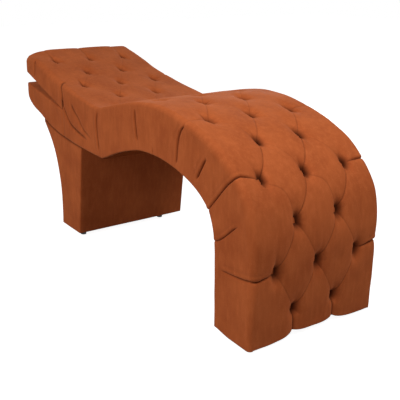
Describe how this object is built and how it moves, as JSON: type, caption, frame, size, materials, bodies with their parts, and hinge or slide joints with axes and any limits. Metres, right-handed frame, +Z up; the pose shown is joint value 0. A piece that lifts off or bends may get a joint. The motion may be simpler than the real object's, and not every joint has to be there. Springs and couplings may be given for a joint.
{
  "type": "beauty bed",
  "caption": "Wave-shaped, deep-buttoned treatment bed with a waterfall foot, a pedestal under the head end and a headrest that tilts on ratchet hinges.",
  "frame": {"origin": "on the floor under the middle of the bed's box", "axes": "+X along the bed from the head end to the foot, +Y across it to the far side of the picture, +Z up"},
  "size_m": [1.9041, 0.6, 0.8517],
  "materials": {
    "tufted_suede": "rust-orange suede-touch velvet, deep-buttoned, matte with a soft sheen",
    "side_suede": "the same rust-orange suede-touch velvet, pulled flat with small pleats",
    "lining_suede": "rust-orange suede-touch velvet, plain, in the shaded undersides",
    "dust_cloth": "black non-woven dust cloth",
    "foam": "pale open-cell foam",
    "plywood": "bare birch plywood",
    "pine": "bare planed pine",
    "zinc_steel": "zinc-plated steel",
    "black_plastic": "black moulded plastic with a steel pad"
  },
  "bodies": {
    "bed": {"arch_board": "plywood", "arch_cover": "lining_suede", "base_bottom_board": "plywood", "base_cover": "side_suede", "base_rail": "pine", "base_top_board": "plywood", "centre_rib": "plywood", "cleat_back": "pine", "cleat_front": "pine", "foot_board": "plywood", "foot_dust_cloth": "dust_cloth", "foot_glide_1": "black_plastic", "foot_glide_2": "black_plastic", "foot_glide_3": "black_plastic", "foot_glide_4": "black_plastic", "foot_rail": "pine", "hinge_fold": "tufted_suede", "hinge_rail": "pine", "hump_rail": "pine", "knee_rail": "pine", "main_cover": "tufted_suede", "main_foam": "foam", "pedestal_back_board": "plywood", "pedestal_bolt_1": "zinc_steel", "pedestal_bolt_2": "zinc_steel", "pedestal_bolt_3": "zinc_steel", "pedestal_bolt_4": "zinc_steel", "pedestal_bottom_board": "plywood", "pedestal_cover": "side_suede", "pedestal_front_board": "plywood", "pedestal_glide_1": "black_plastic", "pedestal_glide_2": "black_plastic", "pedestal_glide_3": "black_plastic", "pedestal_glide_4": "black_plastic", "pedestal_side_far": "plywood", "pedestal_side_near": "plywood", "pedestal_top_board": "plywood", "ratchet_plate_far": "zinc_steel", "ratchet_plate_near": "zinc_steel", "ratchet_rivet_far": "zinc_steel", "ratchet_rivet_near": "zinc_steel", "seat_deck": "plywood", "shoulder_rail": "pine", "side_cover_far": "side_suede", "side_cover_near": "side_suede", "side_panel_far": "plywood", "side_panel_near": "plywood", "valley_rail": "pine"},
    "headrest": {"headrest_bearer_far": "pine", "headrest_bearer_near": "pine", "headrest_board": "plywood", "headrest_border": "side_suede", "headrest_cover": "tufted_suede", "headrest_foam": "foam", "headrest_lining": "lining_suede", "headrest_rail": "pine", "ratchet_arm_far": "zinc_steel", "ratchet_arm_near": "zinc_steel", "ratchet_pawl_far": "zinc_steel", "ratchet_pawl_near": "zinc_steel"}
  },
  "joints": [
    {"name": "headrest_tilt", "type": "hinge", "parent": "bed", "child": "headrest", "pos_m": [-0.51711, 0, 0.62105], "axis": [0, 1, 0], "range_deg": [-6, 30], "deforming": ["hinge_fold"]}
  ]
}
